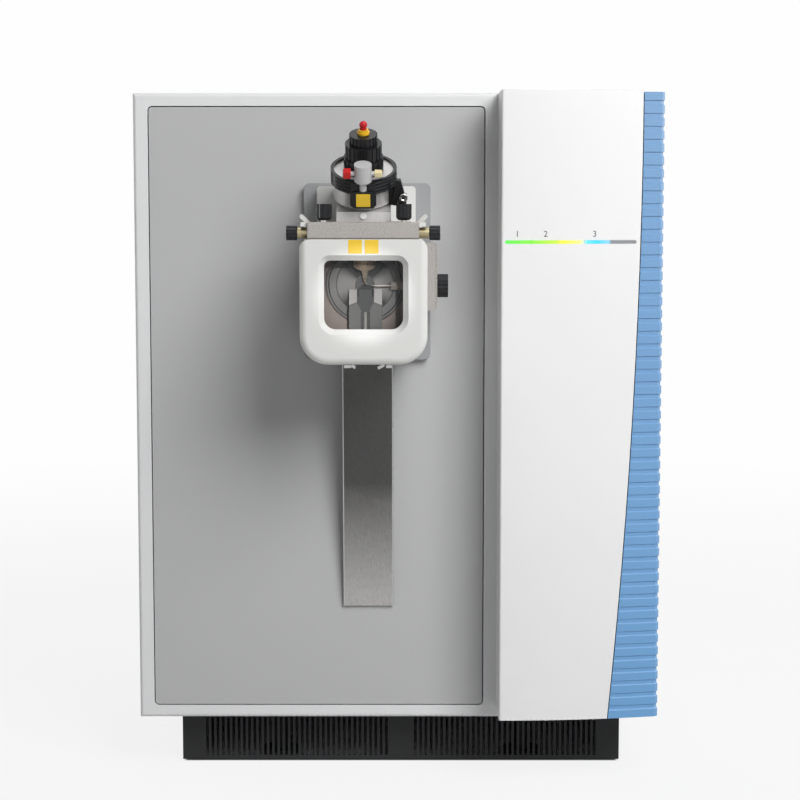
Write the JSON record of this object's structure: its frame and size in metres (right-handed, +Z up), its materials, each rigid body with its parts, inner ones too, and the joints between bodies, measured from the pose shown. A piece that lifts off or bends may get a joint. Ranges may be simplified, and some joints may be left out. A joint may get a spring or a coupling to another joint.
{
  "type": "mass spectrometer",
  "caption": "Floor-of-bench mass spectrometer: white cabinet, silver front panel with a windowed spray source and tilted probe, and a bowed service cover with blue ribbed trim.",
  "frame": {"origin": "under the middle of the machine, on the surface it stands on", "axes": "+X to the machine's right as seen from the front, +Y towards its back, +Z up"},
  "size_m": [0.531, 0.76, 0.7],
  "materials": {
    "black_plastic": "matte",
    "dark_rubber": "matte",
    "zinc_steel": "zinc",
    "chassis_steel": "matte",
    "white_paint": "satin",
    "white_plastic": "satin",
    "silver_panel": "satin",
    "cover_white": "satin",
    "blue_trim": "satin",
    "light_pipe": "gloss",
    "flange_grey": "satin",
    "polished_steel": "polished",
    "brushed_steel": "brushed",
    "machined_aluminium": "machined",
    "window_glass": "clear",
    "blasted_aluminium": "bead-blasted",
    "knob_silver": "machined",
    "brass": "polished",
    "yellow_plastic": "gloss",
    "red_plastic": "gloss",
    "red_and_cream_plastic": "gloss",
    "ceramic_and_steel": "polished",
    "electronics": "satin"
  },
  "bodies": {
    "cabinet": {"plinth": "black_plastic", "levelling_feet": "dark_rubber", "base_tray": "zinc_steel", "chassis_frame": "chassis_steel", "left_side_panel": "white_paint", "right_side_panel": "white_paint", "top_cover": "white_paint", "rear_panel": "white_paint", "front_bezel": "white_plastic", "front_panel": "silver_panel", "service_cover": "cover_white", "ribbed_trim": "blue_trim", "status_light_bar": "light_pipe", "source_flange": "flange_grey", "sweep_cone": "polished_steel", "ion_transfer_tube": "polished_steel", "drain_channel": "brushed_steel", "fan_frames": "black_plastic", "vacuum_ports": "brushed_steel", "gas_ports": "brass", "inlet_module": "black_plastic", "vacuum_manifold": "machined_aluminium", "manifold_lid": "machined_aluminium", "turbo_pump": "machined_aluminium", "quadrupole": "ceramic_and_steel", "analyser": "ceramic_and_steel", "electronics": "electronics"},
    "ion_source": {"source_housing": "machined_aluminium", "front_cover": "white_plastic", "window_glass": "window_glass", "crossbar": "blasted_aluminium", "rear_block": "white_paint", "side_studs": "brass", "side_plate": "blasted_aluminium", "drain_block": "polished_steel", "probe_port": "machined_aluminium", "spray_probe": "brass", "probe_low_ring": "knob_silver", "yellow_collar": "yellow_plastic", "gas_union": "polished_steel", "line_fittings": "red_and_cream_plastic", "union_bracket": "black_plastic", "clamp_lug": "black_plastic", "clamp_screw": "polished_steel"},
    "needle": {"discharge_needle": "polished_steel", "needle_knob": "black_plastic"},
    "latch_left": {"latch_lever_left": "knob_silver"},
    "latch_right": {"latch_lever_right": "knob_silver"},
    "upright_screw_left": {"thumbscrew_left": "black_plastic"},
    "upright_screw_right": {"thumbscrew_right": "black_plastic"},
    "end_knob_left": {"side_knob_left": "black_plastic"},
    "end_knob_right": {"side_knob_right": "black_plastic"},
    "probe_ring": {"lock_ring": "black_plastic"},
    "depth_knob": {"probe_mid_knob": "knob_silver"},
    "insert_knob": {"probe_top_knob": "knob_silver"},
    "probe_cap": {"red_cap": "red_plastic"},
    "lever": {"clamp_lever": "black_plastic"},
    "fan_left": {"fan_rotor_left": "black_plastic"},
    "fan_right": {"fan_rotor_right": "black_plastic"},
    "rocker": {"switch_rocker": "black_plastic"}
  },
  "joints": [
    {"name": "source_pull", "type": "slide", "parent": "cabinet", "child": "ion_source", "axis": [0, -1, 0], "range_m": [0, 0.12]},
    {"name": "needle_turn", "type": "hinge", "parent": "ion_source", "child": "needle", "pos_m": [0, -0.27, 0.5081], "axis": [1, 0, 0], "range_deg": [0, 90]},
    {"name": "latch_turn_left", "type": "hinge", "parent": "ion_source", "child": "latch_left", "pos_m": [-0.08, -0.331, 0.567], "axis": [0, -1, 0], "range_deg": [-45, 45]},
    {"name": "latch_turn_right", "type": "hinge", "parent": "ion_source", "child": "latch_right", "pos_m": [0.0187, -0.331, 0.567], "axis": [0, 1, 0], "range_deg": [-45, 45]},
    {"name": "upright_turn_left", "type": "hinge", "parent": "ion_source", "child": "upright_screw_left", "pos_m": [-0.068, -0.344, 0.58], "axis": [0, 0, 1], "range_deg": [0, 360]},
    {"name": "upright_turn_right", "type": "hinge", "parent": "ion_source", "child": "upright_screw_right", "pos_m": [0.008, -0.344, 0.58], "axis": [0, 0, 1], "range_deg": [0, 360]},
    {"name": "end_turn_left", "type": "hinge", "parent": "ion_source", "child": "end_knob_left", "pos_m": [-0.098, -0.347, 0.5615], "axis": [-1, 0, 0], "range_deg": [0, 360]},
    {"name": "end_turn_right", "type": "hinge", "parent": "ion_source", "child": "end_knob_right", "pos_m": [0.037, -0.347, 0.5615], "axis": [1, 0, 0], "range_deg": [0, 360]},
    {"name": "ring_turn", "type": "hinge", "parent": "ion_source", "child": "probe_ring", "pos_m": [-0.0306, -0.31948, 0.61742], "axis": [0, -0.454, 0.891], "range_deg": [0, 30]},
    {"name": "depth_turn", "type": "hinge", "parent": "ion_source", "child": "depth_knob", "pos_m": [-0.0306, -0.33083, 0.6397], "axis": [0, -0.454, 0.891], "range_deg": [0, 360]},
    {"name": "insert_turn", "type": "hinge", "parent": "ion_source", "child": "insert_knob", "pos_m": [-0.0306, -0.33673, 0.65128], "axis": [0, -0.454, 0.891], "range_deg": [0, 360]},
    {"name": "cap_pull", "type": "slide", "parent": "ion_source", "child": "probe_cap", "axis": [0, -0.454, 0.891], "range_m": [0, 0.02]},
    {"name": "clamp_turn", "type": "hinge", "parent": "ion_source", "child": "lever", "pos_m": [0.006, -0.31112, 0.60103], "axis": [0, 0.891, 0.454], "range_deg": [0, 90]},
    {"name": "fan_spin_left", "type": "hinge", "parent": "cabinet", "child": "fan_left", "pos_m": [-0.15, 0.35, 0.56], "axis": [0, 1, 0], "continuous": true},
    {"name": "fan_spin_right", "type": "hinge", "parent": "cabinet", "child": "fan_right", "pos_m": [-0.01, 0.35, 0.56], "axis": [0, 1, 0], "continuous": true},
    {"name": "rocker_turn", "type": "hinge", "parent": "cabinet", "child": "rocker", "pos_m": [0.175, 0.352, 0.205], "axis": [1, 0, 0], "range_deg": [0, 20]}
  ]
}
